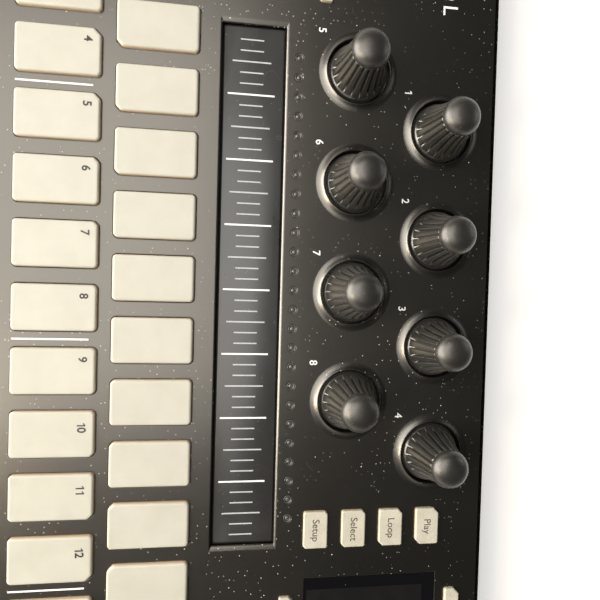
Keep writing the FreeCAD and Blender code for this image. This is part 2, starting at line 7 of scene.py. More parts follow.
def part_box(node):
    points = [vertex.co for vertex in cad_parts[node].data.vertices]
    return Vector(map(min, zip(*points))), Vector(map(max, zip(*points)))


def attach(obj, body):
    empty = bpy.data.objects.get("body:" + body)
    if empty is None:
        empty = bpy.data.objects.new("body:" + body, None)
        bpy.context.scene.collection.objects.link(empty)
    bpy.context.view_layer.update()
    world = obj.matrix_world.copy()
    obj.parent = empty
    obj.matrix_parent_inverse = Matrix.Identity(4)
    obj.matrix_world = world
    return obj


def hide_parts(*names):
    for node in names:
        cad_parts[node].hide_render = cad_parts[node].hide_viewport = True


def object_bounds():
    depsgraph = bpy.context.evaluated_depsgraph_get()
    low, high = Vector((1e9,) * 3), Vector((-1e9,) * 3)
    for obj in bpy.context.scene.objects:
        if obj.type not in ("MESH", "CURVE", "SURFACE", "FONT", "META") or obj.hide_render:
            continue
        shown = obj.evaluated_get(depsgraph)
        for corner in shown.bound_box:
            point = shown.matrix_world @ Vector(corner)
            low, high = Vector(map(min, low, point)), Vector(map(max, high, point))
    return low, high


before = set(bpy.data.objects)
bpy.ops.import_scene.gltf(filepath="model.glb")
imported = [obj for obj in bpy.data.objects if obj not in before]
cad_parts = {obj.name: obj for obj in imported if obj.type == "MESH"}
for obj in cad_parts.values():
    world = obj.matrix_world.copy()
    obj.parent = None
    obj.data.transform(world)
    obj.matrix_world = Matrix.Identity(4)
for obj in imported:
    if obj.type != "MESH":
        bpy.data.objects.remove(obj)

CAD_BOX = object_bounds()
MM = 0.001

# --- places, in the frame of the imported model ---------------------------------

PANEL_TOP = 0.020                       # the panel's plane over the feet
PADS = 16
LIGHTS = 25
BACK_KNOBS = [f"knob_{n}" for n in range(1, 5)]
FRONT_KNOBS = [f"knob_{n}" for n in range(5, 9)]
KNOBS = BACK_KNOBS + FRONT_KNOBS + ["data_knob"]
MODE_BUTTONS = {"menu_button": "Setup", "select_button": "Select",
                "loop_button": "Loop", "play_button": "Play"}
CORNER_CUTS = {"menu_button": 0.9 * MM, "select_button": 1.2 * MM, "loop_button": 1.5 * MM,
               "play_button": 1.8 * MM, "octave_down_button": 1.5 * MM,
               "octave_up_button": 1.5 * MM, "soft_button_back_left": 2.0 * MM,
               "soft_button_back_right": 2.0 * MM, "soft_button_front_left": 2.0 * MM,
               "soft_button_front_right": 2.0 * MM, "shift_button": 2.0 * MM}
PLAIN_CORNER = 0.85 * MM                # the cut of a pad's three plain corners
BUTTON_CORNER = 0.5 * MM                # the cut of a button's two plain corners
FLANGE = 0.9 * MM                       # a key's hidden lip, on every side
KEY_REACH = 3.5 * MM                    # how far a key goes down under the panel
CAP_FOOT = 15.75 * MM                   # where a knob's cap starts over the panel


def middle(node):
    low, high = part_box(node)
    return (Vector(low) + Vector(high)) / 2


# --- materials ----------------------------------------------------------------

class Shader:
    """A node material with short names for what the recipes below repeat."""

    def __init__(self, name):
        self.material = bpy.data.materials.new(name)
        self.material.use_nodes = True
        self.tree = self.material.node_tree
        self.principled = self.tree.nodes["Principled BSDF"]
        self.place = self.add("ShaderNodeTexCoord").outputs["Object"]

    def add(self, kind, **settings):
        node = self.tree.nodes.new(kind)
        for name, value in settings.items():
            setattr(node, name, value)
        return node

    def join(self, source, target):
        self.tree.links.new(source, target)

    def feed(self, socket, value):
        if isinstance(value, bpy.types.NodeSocket):
            self.join(value, socket)
        else:
            socket.default_value = value

    def set(self, **inputs):
        for name, value in inputs.items():
            self.feed(self.principled.inputs[name.replace("_", " ")], value)

    def noise(self, grain, detail=4.0, rough=0.55, stretch=(1, 1, 1), warp=0.0):
        """Noise whose grain is a size in metres."""
        scaled = self.add("ShaderNodeVectorMath", operation="MULTIPLY")
        self.join(self.place, scaled.inputs[0])
        scaled.inputs[1].default_value = stretch
        node = self.add("ShaderNodeTexNoise")
        self.join(scaled.outputs[0], node.inputs["Vector"])
        node.inputs["Scale"].default_value = 1 / grain
        node.inputs["Detail"].default_value = detail
        node.inputs["Roughness"].default_value = rough
        node.inputs["Distortion"].default_value = warp
        return node.outputs["Fac"]

    def cells(self, size, out="Distance"):
        node = self.add("ShaderNodeTexVoronoi")
        self.join(self.place, node.inputs["Vector"])
        node.inputs["Scale"].default_value = 1 / size
        return node.outputs[out]

    def math(self, operation, a, b=0.0, c=0.0, clamp=False):
        node = self.add("ShaderNodeMath", operation=operation, use_clamp=clamp)
        for socket, value in zip(node.inputs, (a, b, c)):
            self.feed(socket, value)
        return node.outputs[0]

    def span(self, value, low, high, to_low=0.0, to_high=1.0):
        node = self.add("ShaderNodeMapRange", clamp=True)
        self.feed(node.inputs["Value"], value)
        node.inputs["From Min"].default_value = low
        node.inputs["From Max"].default_value = high
        node.inputs["To Min"].default_value = to_low
        node.inputs["To Max"].default_value = to_high
        return node.outputs["Result"]

    def mix(self, share, a, b):
        node = self.add("ShaderNodeMix", data_type="RGBA")
        self.feed(node.inputs["Factor"], share)
        for socket, value in ((node.inputs["A"], a), (node.inputs["B"], b)):
            self.feed(socket, value if isinstance(value, bpy.types.NodeSocket) else (*value, 1))
        return node.outputs["Result"]

    def split(self, vector, axis):
        node = self.add("ShaderNodeSeparateXYZ")
        self.join(vector, node.inputs[0])
        return node.outputs[axis]

    def facing_up(self):
        return self.split(self.add("ShaderNodeNewGeometry").outputs["Normal"], "Z")

    def specks(self, size, radius, share):
        """Small round grains, in only a share of the cells."""
        near = self.math("LESS_THAN", self.cells(size), radius)
        chosen = self.math("LESS_THAN", self.split(self.cells(size, "Color"), "X"), share)
        return self.math("MULTIPLY", near, chosen)

    def hairs(self, grain, width, patch):
        """Thin curved lines along the level line of a smooth noise, in patches."""
        ridge = self.math("ABSOLUTE", self.math("SUBTRACT", self.noise(grain, 1.0, warp=0.6), 0.5))
        line = self.math("LESS_THAN", ridge, width)
        where = self.math("GREATER_THAN", self.noise(grain * 0.7, 2.0), patch)
        return self.math("MULTIPLY", line, where)

    def bump(self, height, depth, strength=0.5, soft_edge=None):
        node = self.add("ShaderNodeBump")
        node.inputs["Strength"].default_value = strength
        node.inputs["Distance"].default_value = depth
        self.feed(node.inputs["Height"], height)
        if soft_edge:
            bevel = self.add("ShaderNodeBevel", samples=4)
            bevel.inputs["Radius"].default_value = soft_edge
            self.join(bevel.outputs[0], node.inputs["Normal"])
        self.join(node.outputs[0], self.principled.inputs["Normal"])

    def worn_edges(self, low=0.52, high=0.60):
        return self.span(self.add("ShaderNodeNewGeometry").outputs["Pointiness"], low, high)


EDGE_BEVEL = 2.6 * MM                   # the band along the front and back edges
DUST = (0.60, 0.56, 0.48)


def case_coating():
    """Satin black coating with a fine flake, a fine tooth, dust and lint.

    The flake is a dark metal that stays dark at its edge, so its shine stays even
    at low angles.  How strong it is goes by slope, which is a choice made for the
    picture and not a fact about the object: full on the level, up to double on
    slopes towards the player, which is a painted highlight, and weak on slopes away,
    on the walls and along the front and back edges, which is painted shade."""
    s = Shader("case_coating")
    cloud = s.noise(60 * MM, 5.0)
    fine = s.noise(0.5 * MM, 3.0, 0.7)
    base = s.mix(cloud, (0.0085, 0.0078, 0.0062), (0.0125, 0.0115, 0.0092))
    base = s.mix(s.span(fine, 0.58, 0.72, 0.0, 0.3), base, (0.045, 0.042, 0.034))
    thick = s.span(s.noise(45 * MM, 3.0), 0.40, 0.60)
    dust = s.math("MULTIPLY", s.specks(1.4 * MM, 0.15, 0.34), thick)
    crumbs = s.specks(4.5 * MM, 0.045, 0.40)
    lint = s.hairs(13 * MM, 0.0010, 0.69)
    dirt = s.math("MAXIMUM", s.math("MAXIMUM", s.math("MULTIPLY", dust, 0.7), crumbs),
                  s.math("MULTIPLY", lint, 0.35))
    normal = s.add("ShaderNodeNewGeometry").outputs["Normal"]
    up = s.split(normal, "Z")
    tilt = s.split(normal, "Y")
    lean = s.math("MULTIPLY_ADD", tilt, -0.4, up)
    dirt = s.math("MULTIPLY", dirt, s.math("GREATER_THAN", up, 0.7))
    rough = s.span(cloud, 0.3, 0.7, 0.28, 0.33)
    rough = s.math("ADD", rough, s.math("MULTIPLY", dirt, 0.3), clamp=True)
    # painted highlight and shade: gloss grows on slopes towards the player and fades on slopes
    # away, on the walls and along the front and back edges
    gloss = s.span(lean, 0.5, 0.95, 0.1, 1.0)
    back = s.split(s.place, "Y")
    rim = s.math("GREATER_THAN", s.math("ABSOLUTE", back), CAD_BOX[1][1] - EDGE_BEVEL)
    gloss = s.math("MULTIPLY", gloss, s.span(rim, 0.0, 1.0, 1.0, 0.0))
    gloss = s.math("MULTIPLY", gloss, s.span(tilt, -0.6, -0.1, 2.0, 1.0))
    rough = s.math("MAXIMUM", rough, s.math("MULTIPLY", rim, 0.6))
    # the flake's colour follows gloss, so the painted highlight and shade are in its colour too
    shine = s.mix(cloud, (0.190, 0.180, 0.162), (0.222, 0.210, 0.190))
    shine = s.mix(s.math("MULTIPLY", gloss, 0.5), (0.006, 0.006, 0.005), shine)
    level = s.math("GREATER_THAN", up, 0.3)
    base = s.mix(level, base, shine)
    base = s.mix(s.math("MULTIPLY", dirt, 0.9), base, DUST)
    clean = s.math("SUBTRACT", 1.0, dirt, clamp=True)
    flake = s.math("MULTIPLY", s.math("MULTIPLY", level, clean), 0.95)
    s.set(Base_Color=base, Metallic=flake, Roughness=rough, Specular_IOR_Level=gloss, IOR=1.6,
          Specular_Tint=(0.34, 0.33, 0.31, 1))
    s.bump(s.math("ADD", fine, s.math("MULTIPLY", dirt, 0.8)), 0.05 * MM, 0.35, 0.45 * MM)
    return s.material


def base_moulding():
    """Black moulded plastic with a spark-eroded grain and scuffs."""
    s = Shader("base_moulding")
    grain = s.noise(0.5 * MM, 4.0, 0.7)
    scuffs = s.hairs(14 * MM, 0.004, 0.58)
    base = s.mix(s.noise(50 * MM), (0.016, 0.016, 0.016), (0.027, 0.027, 0.026))
    base = s.mix(s.math("MULTIPLY", scuffs, 0.3), base, (0.09, 0.09, 0.085))
    s.set(Base_Color=base, Roughness=s.span(grain, 0.3, 0.7, 0.55, 0.72))
    s.bump(grain, 0.08 * MM, 0.4, 0.25 * MM)
    return s.material


def pad_silicone():
    """Cream silicone that lets a little light in and is tan round its sides, which is painted
    shade and painted warm light through the silicone.
    """
    s = Shader("pad_silicone")
    cloud = s.noise(11 * MM, 4.0)
    pores = s.noise(0.25 * MM, 3.0, 0.7)
    base = s.mix(s.span(cloud, 0.35, 0.65), (0.44, 0.43, 0.365), (0.475, 0.465, 0.40))
    # painted shade and warm light: the sides, by their slope, are tinted tan
    side = s.span(s.facing_up(), 0.15, 0.80, 1.0, 0.0)
    base = s.mix(s.math("MULTIPLY", side, 0.65), base, (0.74, 0.52, 0.30))
    grime = s.math("MULTIPLY", s.specks(2.4 * MM, 0.05, 0.10), 0.5)
    base = s.mix(grime, base, (0.36, 0.30, 0.22))
    s.set(Base_Color=base, Roughness=s.span(cloud, 0.3, 0.7, 0.40, 0.52),
          Subsurface_Weight=0.25, Subsurface_Radius=(1.2 * MM, 0.8 * MM, 0.45 * MM),
          Subsurface_Scale=1.0)
    s.bump(pores, 0.02 * MM, 0.3)
    return s.material


def button_cap():
    """Cream moulded plastic, a little warmer and drier than the pads."""
    s = Shader("button_cap")
    cloud = s.noise(5 * MM, 4.0)
    grain = s.noise(0.3 * MM, 3.0, 0.7)
    base = s.mix(s.span(cloud, 0.35, 0.65), (0.45, 0.425, 0.35), (0.51, 0.485, 0.405))
    # painted shade and warm light: the sides, by their slope, are tinted brown
    side = s.span(s.facing_up(), 0.15, 0.75, 1.0, 0.0)
    base = s.mix(s.math("MULTIPLY", side, 0.45), base, (0.50, 0.36, 0.22))
    s.set(Base_Color=base, Roughness=s.span(grain, 0.3, 0.7, 0.38, 0.5),
          Subsurface_Weight=0.12, Subsurface_Radius=(0.8 * MM, 0.5 * MM, 0.3 * MM),
          Subsurface_Scale=1.0)
    s.bump(grain, 0.02 * MM, 0.3)
    return s.material


def knob_rubber():
    """Black rubber with dust and pale worn edges.  The grip shines more than the
    cap, which is a choice made for the picture."""
    s = Shader("knob_rubber")
    cloud = s.noise(6 * MM, 4.0)
    grain = s.noise(0.3 * MM, 4.0, 0.7)
    base = s.mix(cloud, (0.007, 0.007, 0.0068), (0.013, 0.0125, 0.0115))
    dust = s.specks(1.3 * MM, 0.10, 0.12)
    base = s.mix(s.math("MULTIPLY", dust, 0.5), base, (0.30, 0.28, 0.25))
    base = s.mix(s.math("MULTIPLY", s.worn_edges(), 0.15), base, (0.11, 0.10, 0.09))
    cap = s.math("GREATER_THAN", s.split(s.place, "Z"), PANEL_TOP + CAP_FOOT)
    rough = s.math("ADD", s.span(cloud, 0.3, 0.7, 0.27, 0.33), s.math("MULTIPLY", cap, 0.08))
    s.set(Base_Color=base, Roughness=rough, IOR=1.6,
          Specular_IOR_Level=s.span(cap, 0.0, 1.0, 1.5, 0.8),
          Specular_Tint=(1.0, 0.96, 0.88, 1), Sheen_Weight=s.span(cap, 0.0, 1.0, 0.08, 0.04),
          Sheen_Roughness=0.5, Sheen_Tint=(1.0, 0.94, 0.86, 1))
    s.bump(grain, 0.03 * MM, 0.3)
    return s.material


def strip_cover():
    """Dark grey glossy cover with finger smears and fine scratches."""
    s = Shader("strip_cover")
    smear = s.noise(18 * MM, 5.0, 0.6, stretch=(0.4, 1, 1), warp=0.8)
    scratches = s.math("MAXIMUM", s.hairs(17 * MM, 0.0015, 0.53), s.hairs(9 * MM, 0.0012, 0.60))
    dust = s.specks(2.2 * MM, 0.07, 0.40)
    base = s.mix(smear, (0.024, 0.024, 0.024), (0.040, 0.040, 0.040))
    dirt = s.math("MAXIMUM", s.math("MULTIPLY", scratches, 0.15), s.math("MULTIPLY", dust, 0.6))
    base = s.mix(dirt, base, (0.30, 0.29, 0.27))
    s.set(Base_Color=base, Roughness=s.span(smear, 0.3, 0.7, 0.26, 0.44), Coat_Weight=0.15,
          Coat_Roughness=0.2)
    s.bump(s.math("SUBTRACT", s.noise(1.2 * MM), scratches), 0.02 * MM, 0.25, 0.15 * MM)
    return s.material


def window_gloss():
    """Polished black window with smears and a few grains of dust."""
    s = Shader("window_gloss")
    smear = s.noise(14 * MM, 5.0, 0.6, warp=1.2)
    dust = s.specks(2.6 * MM, 0.05, 0.25)
    base = s.mix(s.math("MULTIPLY", dust, 0.6), (0.004, 0.004, 0.005), (0.35, 0.34, 0.32))
    s.set(Base_Color=base, Roughness=s.span(smear, 0.35, 0.75, 0.06, 0.20))
    s.bump(smear, 0.01 * MM, 0.1, 0.15 * MM)
    return s.material


def smoked_lens():
    s = Shader("smoked_lens")
    cloud = s.noise(1.5 * MM)
    base = s.mix(cloud, (0.05, 0.048, 0.044), (0.09, 0.088, 0.08))
    s.set(Base_Color=base, Roughness=s.span(cloud, 0.3, 0.7, 0.20, 0.30), Coat_Weight=0.8,
          Coat_Roughness=0.16)
    s.bump(cloud, 0.005 * MM, 0.2)
    return s.material


def ink(name, dark, light, rough=0.5):
    """Screen-printed ink, slightly uneven."""
    s = Shader(name)
    grain = s.noise(0.6 * MM, 4.0, 0.7)
    s.set(Base_Color=s.mix(s.span(grain, 0.3, 0.7), dark, light),
          Roughness=s.span(grain, 0.3, 0.7, rough - 0.06, rough + 0.06))
    s.bump(grain, 0.01 * MM, 0.2)
    return s.material


def foot_rubber():
    s = Shader("foot_rubber")
    grain = s.noise(0.8 * MM, 5.0, 0.7)
    base = s.mix(grain, (0.018, 0.018, 0.018), (0.040, 0.039, 0.037))
    base = s.mix(s.math("MULTIPLY", s.specks(1.5 * MM, 0.12, 0.2), 0.4), base, (0.3, 0.29, 0.27))
    s.set(Base_Color=base, Roughness=0.85)
    s.bump(grain, 0.08 * MM, 0.5, 0.3 * MM)
    return s.material


def screw_steel():
    s = Shader("screw_steel")
    grain = s.noise(0.7 * MM, 4.0, 0.6)
    base = s.mix(s.worn_edges(), (0.05, 0.05, 0.052), (0.32, 0.32, 0.33))
    s.set(Base_Color=base, Metallic=1.0, Roughness=s.span(grain, 0.3, 0.7, 0.32, 0.5))
    s.bump(grain, 0.02 * MM, 0.2, 0.12 * MM)
    return s.material


# what in the case is board, and what is socket, by its height and its depth
MAIN_BOARD_TOP = 9.3 * MM
PAD_BOARD_BASE = 13.9 * MM
PAD_BOARD_BACK = -18 * MM
SOCKET_FRONT = 79.5 * MM
SOCKET_BASE = 9.15 * MM


def electronics():
    """Green boards; what stands on them is black or, at the socket, tinned steel."""
    s = Shader("electronics")
    grain = s.noise(1.2 * MM, 4.0)
    height = s.split(s.place, "Z")
    back = s.split(s.place, "Y")
    low_board = s.math("LESS_THAN", height, MAIN_BOARD_TOP)
    pad_board = s.math("MULTIPLY", s.math("GREATER_THAN", height, PAD_BOARD_BASE),
                       s.math("LESS_THAN", back, PAD_BOARD_BACK))
    board = s.math("MAXIMUM", low_board, pad_board)
    colour = s.mix(board, (0.02, 0.02, 0.021), (0.012, 0.085, 0.035))
    socket = s.math("MULTIPLY", s.math("GREATER_THAN", back, SOCKET_FRONT),
                    s.math("GREATER_THAN", height, SOCKET_BASE))
    colour = s.mix(socket, colour, (0.62, 0.62, 0.61))
    s.set(Base_Color=colour, Metallic=socket, Roughness=s.span(grain, 0.3, 0.7, 0.28, 0.42))
    s.bump(grain, 0.02 * MM, 0.2, 0.1 * MM)
    return s.material


def dress(piece, material):
    piece.data.materials.clear()
    piece.data.materials.append(material)


# --- mesh helpers -------------------------------------------------------------

def mesh_piece(name, vertices, faces, material, smooth=True):
    mesh = bpy.data.meshes.new(name)
    mesh.from_pydata([tuple(v) for v in vertices], [], faces)
    mesh.validate()
    mesh.update()
    piece = bpy.data.objects.new(name, mesh)
    bpy.context.scene.collection.objects.link(piece)
    mesh.materials.append(material)
    for polygon in mesh.polygons:
        polygon.use_smooth = smooth
    return piece


def finish_piece(piece, body, slot, *nodes):
    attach(piece, body)
    if nodes:
        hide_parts(*nodes)
    return piece


def skin(rings):
    """Vertices and faces through rings of equal length, with closed ends."""
    count = len(rings[0])
    vertices = [v for ring in rings for v in ring]
    faces = []
    for level in range(len(rings) - 1):
        for i in range(count):
            j = (i + 1) % count
            a = level * count
            faces.append((a + i, a + j, a + count + j, a + count + i))
    faces.append(tuple(reversed(range(count))))
    top = len(vertices) - count
    faces.append(tuple(range(top, top + count)))
    return vertices, faces


CORNER_STEPS = 5
EDGE_STEPS = 6


def rounded_outline(corners, radius):
    """Points round a polygon, anticlockwise, each with its outward direction."""
    points = []
    for i, corner in enumerate(corners):
        corner = Vector(corner)
        before = (Vector(corners[i - 1]) - corner).normalized()
        after = (Vector(corners[(i + 1) % len(corners)]) - corner).normalized()
        half = before.angle(after) / 2
        reach = radius / math.tan(half)
        centre = corner + (before + after).normalized() * (radius / math.sin(half))
        start = corner + before * reach - centre
        end = corner + after * reach - centre
        turn = start.angle_signed(end)
        for step in range(CORNER_STEPS + 1):
            arm = start.copy()
            arm.rotate(Matrix.Rotation(-turn * step / CORNER_STEPS, 2))
            points.append((centre + arm, arm.normalized()))
    return points


def cornered(width, depth, cuts, right_hand):
    """The outline of a key: a rectangle with its corners cut off.  The cuts go
    front left, front right, back right, back left; a right-hand key is the
    mirror image."""
    corners = []
    for cut, side, front in zip(cuts, (-1, 1, 1, -1), (-1, -1, 1, 1)):
        x, y = width / 2, depth / 2
        turn = [(side * (x - cut), front * y), (side * x, front * (y - cut))]
        corners += reversed(turn) if side == front else turn
    if right_hand:
        corners = [(-px, py) for px, py in reversed(corners)]
    return corners


# a key's hidden lip: how far out, and how far over the key's foot
LIP = [(FLANGE * 0.9, 0.0), (FLANGE * 0.9, 0.9 * MM), (0.0, 0.95 * MM)]
DISH_RINGS = (0.97, 0.9, 0.75, 0.5, 0.2)  # shares of the way out from a key's middle


def key_mesh(name, node, cuts, right_hand, edge, corner, dish, material):
    """A moulded key: straight sides, a rolled edge and a faintly dished top."""
    low, high = (Vector(c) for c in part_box(node))
    centre = (low + high) / 2
    width = high.x - low.x - 2 * FLANGE
    depth = high.y - low.y - 2 * FLANGE
    top = high.z
    foot = PANEL_TOP - KEY_REACH
    corners = cornered(width, depth, cuts, right_hand)
    outline = rounded_outline(corners, corner)
    levels = [(grow, foot + rise) for grow, rise in LIP] + [(0.0, top - edge)]
    for step in range(1, EDGE_STEPS + 1):
        angle = math.pi / 2 * step / EDGE_STEPS
        levels.append((-edge * (1 - math.cos(angle)), top - edge * (1 - math.sin(angle))))
    rings = []
    for grow, z in levels:
        rings.append([(centre.x + p.x + n.x * grow, centre.y + p.y + n.y * grow, z)
                      for p, n in outline])
    edge_ring = rings[-1]
    for share in DISH_RINGS:
        sink = dish * (1 - share ** 2)
        rings.append([(centre.x + (x - centre.x) * share, centre.y + (y - centre.y) * share,
                       top - sink) for x, y, z in edge_ring])
    vertices, faces = skin(rings)
    return mesh_piece(name, vertices, faces, material)


CAPITAL_SHARE = 0.70                    # a capital's height in the font's own size


def text_mesh(words, height, bold=0.0):
    """Flat lettering as vertices and faces, centred, its capitals the given height.
    It is filled at a capital height of one and then brought down."""
    curve = bpy.data.curves.new("lettering", "FONT")
    curve.body = words
    curve.align_x = "CENTER"
    curve.align_y = "CENTER"
    curve.size = 1 / CAPITAL_SHARE
    curve.offset = bold / height
    curve.resolution_u = 4
    holder = bpy.data.objects.new("lettering", curve)
    mesh = bpy.data.meshes.new_from_object(holder)
    vertices = [v.co * height for v in mesh.vertices]
    faces = [tuple(p.vertices) for p in mesh.polygons]
    bpy.data.objects.remove(holder)
    bpy.data.curves.remove(curve)
    bpy.data.meshes.remove(mesh)
    return vertices, faces


# a stem, then the flag that leads down and left from its top
FIGURE_ONE = [(0.02, -0.5), (0.19, -0.5), (0.19, 0.5), (0.02, 0.5), (-0.2, 0.32), (-0.2, 0.18),
              (0.02, 0.32)]


FIGURE_PITCH = 0.66                     # between neighbouring figures, as a share of their height


class Print:
    """Lettering and lines gathered into one thin printed piece."""

    def __init__(self, name, material):
        self.name = name
        self.material = material
        self.vertices = []
        self.faces = []

    def add(self, vertices, faces, x, y, z):
        first = len(self.vertices)
        self.vertices += [Vector((v[0] + x, v[1] + y, z)) for v in vertices]
        self.faces += [tuple(first + i for i in face) for face in faces]

    def words(self, text, height, x, y, z, bold=0.0):
        self.add(*text_mesh(text, height, bold), x, y, z)

    def number(self, number, height, x, y, z, bold=0.0):
        """Figures side by side, with a flag on the one."""
        digits = str(number)
        for place, digit in enumerate(digits):
            left = x + (place - (len(digits) - 1) / 2) * FIGURE_PITCH * height
            if digit == "1":
                shape = [(px * height, py * height) for px, py in FIGURE_ONE]
                self.add(shape, [tuple(range(4)), (3, 4, 5, 6)], left, y, z)
            else:
                self.words(digit, height, left, y, z, bold)

    def bar(self, x, y, z, length, breadth):
        a, b = length / 2, breadth / 2
        self.add([(-a, -b), (a, -b), (a, b), (-a, b)], [(0, 1, 2, 3)], x, y, z)

    def piece(self):
        return mesh_piece(self.name, self.vertices, self.faces, self.material, smooth=False)


# --- the pieces ---------------------------------------------------------------

coating = case_coating()
silicone = pad_silicone()
button_plastic = button_cap()
rubber = knob_rubber()
lens = smoked_lens()
white_ink = ink("white_ink", (0.70, 0.71, 0.70), (0.86, 0.87, 0.86))
black_ink = ink("black_ink", (0.015, 0.014, 0.013), (0.03, 0.028, 0.025))
grey_ink = ink("grey_ink", (0.055, 0.05, 0.042), (0.095, 0.085, 0.07))

CAD_LOOKS = {"top_case": coating, "bottom_case": base_moulding(), "case_screws": screw_steel(),
             "display_window": window_gloss(), "circuit_boards": electronics(),
             "rubber_feet": foot_rubber()}
for node, material in CAD_LOOKS.items():
    dress(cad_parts[node], material)

INK_LIFT = 0.02 * MM                    # how far print stands over what it is on
UPPER_CUT = (0.7, 0.28)                 # a deep cut at the row's middle, its growth a pad, in mm
LOWER_CUT = (0.8, 0.35)
PAD_EDGE = 0.75 * MM                    # the roll of its top edge
PAD_CORNER = 1.35 * MM                  # the round of its upright corners
PAD_DISH = 0.06 * MM
BUTTON_EDGE = 0.5 * MM
BUTTON_ROUND = 0.75 * MM
FIGURE_HEIGHT = 2.7 * MM
FIGURE_LEFT = 4.0                       # of a pad's middle, in mm, for a single figure
TWO_FIGURES_LEFT = 2.4
FIGURE_AHEAD = 4.2 * MM                 # of a pad's back edge
FIGURE_BOLD = 0.09 * MM
LEGEND_HEIGHT = 2.5 * MM
SIGN_HEIGHT = 2.8 * MM


def pad_pieces():
    for row in ("upper", "lower"):
        for number in range(1, PADS + 1):
            node = f"pad_{row}_{number:02d}"
            step = number - (PADS + 1) / 2
            cuts = [PLAIN_CORNER] * 4
            if row == "upper":
                cuts[1] = (UPPER_CUT[0] + UPPER_CUT[1] * abs(step)) * MM
            else:
                cuts[3] = (LOWER_CUT[0] + LOWER_CUT[1] * abs(step)) * MM
            pad = key_mesh(node + "_skin", node, cuts, step > 0, PAD_EDGE, PAD_CORNER,
                           PAD_DISH, silicone)
            finish_piece(pad, node, "pad_silicone", node)
            if row == "lower":
                low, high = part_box(node)
                figure = Print(node + "_figure", black_ink)
                x = middle(node).x - (FIGURE_LEFT if number < 10 else TWO_FIGURES_LEFT) * MM
                y = high[1] - FLANGE - FIGURE_AHEAD
                figure.number(number, FIGURE_HEIGHT, x, y, high[2] + INK_LIFT, FIGURE_BOLD)
                finish_piece(figure.piece(), node, "pad_silicone")


def button_pieces():
    for node, cut in CORNER_CUTS.items():
        cuts = [BUTTON_CORNER, cut, BUTTON_CORNER, cut]
        button = key_mesh(node + "_cap", node, cuts, False, BUTTON_EDGE, BUTTON_ROUND, 0.0,
                          button_plastic)
        finish_piece(button, node, "button_plastic", node)
    for node, word in MODE_BUTTONS.items():
        centre = middle(node)
        legend = Print(node + "_legend", grey_ink)
        legend.words(word, LEGEND_HEIGHT, centre.x, centre.y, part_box(node)[1][2] + INK_LIFT,
                     0.02 * MM)
        finish_piece(legend.piece(), node, "button_plastic")
    for node, word in (("octave_down_button", "-"), ("octave_up_button", "+")):
        centre = middle(node)
        legend = Print(node + "_legend", grey_ink)
        legend.words(word, SIGN_HEIGHT, centre.x, centre.y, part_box(node)[1][2] + INK_LIFT)
        finish_piece(legend.piece(), node, "button_plastic")


RIBS = 20
RIB_SAMPLES = 18
# height over the panel and radius, in mm, from under the skirt to the cap's underside
GRIP = [(-2.5, 9.6), (-2.5, 10.1), (-2.2, 10.4), (-0.2, 10.4), (0.3, 10.3), (0.7, 10.05),
        (1.0, 9.8), (1.3, 9.62), (1.8, 9.45), (2.4, 9.25), (3.2, 9.0), (4.5, 8.62), (6.0, 8.22),
        (8.0, 7.74), (10.0, 7.30), (12.0, 6.90), (13.6, 6.62), (15.0, 6.36), (15.6, 6.20),
        (15.8, 5.9)]
GROOVE_STARTS = 1.5
GROOVE_FULL = 3.4
GROOVE_DEPTH = 1.15
GROOVE_WIDTH = 1.0
CAP = [(15.75, 5.8), (15.8, 6.2), (16.0, 6.38), (16.5, 6.46), (17.2, 6.36), (17.9, 6.04),
       (18.6, 5.50), (19.2, 4.78), (19.7, 3.84), (20.02, 2.8), (20.2, 1.7), (20.3, 0.5)]
CAP_SIDES = 96


def knob_mesh(node):
    centre = middle(node)
    count = RIBS * RIB_SAMPLES
    rings = []
    for z, radius in GRIP:
        ramp = min(1.0, max(0.0, (z - GROOVE_STARTS) / (GROOVE_FULL - GROOVE_STARTS)))
        depth = GROOVE_DEPTH * math.sin(ramp * math.pi / 2)
        ring = []
        for i in range(count):
            angle = 2 * math.pi * i / count
            turn = (i % RIB_SAMPLES) / RIB_SAMPLES
            off = min(turn, 1 - turn) * 2 * math.pi * radius / RIBS
            notch = max(0.0, 1 - off / (GROOVE_WIDTH / 2 * (0.75 + 0.25 * ramp)))
            r = (radius - depth * notch ** 0.6) * MM
            ring.append((centre.x + r * math.cos(angle), centre.y + r * math.sin(angle),
                         PANEL_TOP + z * MM))
        rings.append(ring)
    vertices, faces = skin(rings)
    cap_rings = []
    for z, radius in CAP:
        cap_rings.append([(centre.x + radius * MM * math.cos(2 * math.pi * i / CAP_SIDES),
                           centre.y + radius * MM * math.sin(2 * math.pi * i / CAP_SIDES),
                           PANEL_TOP + z * MM) for i in range(CAP_SIDES)])
    cap_vertices, cap_faces = skin(cap_rings)
    first = len(vertices)
    vertices += cap_vertices
    faces += [tuple(first + i for i in face) for face in cap_faces]
    return mesh_piece(node + "_grip", vertices, faces, rubber)


def knob_pieces():
    for node in KNOBS:
        finish_piece(knob_mesh(node), node, "knob_rubber", node)


# a lens's radius and height against the panel's top, in mm: a ring, a gap, a low dome
LENS = [(1.42, -2.6), (1.42, -0.16), (1.38, -0.06), (1.30, -0.02), (1.20, -0.02), (1.11, -0.08),
        (1.04, -0.22), (1.00, -0.60), (0.84, -0.60), (0.79, -0.34), (0.70, -0.18), (0.56, -0.09),
        (0.38, -0.04), (0.18, -0.02), (0.04, -0.02)]
LENS_SIDES = 40
BAR_TOP = PANEL_TOP - 2.4 * MM
BAR_EDGE = 0.2 * MM
BAR_CORNER = 0.6 * MM
GUIDE_SPARE = 1 * MM                    # the guide's length beyond the lights' pitches
LIGHTS_AHEAD = 0.2 * MM                 # of the guide's middle


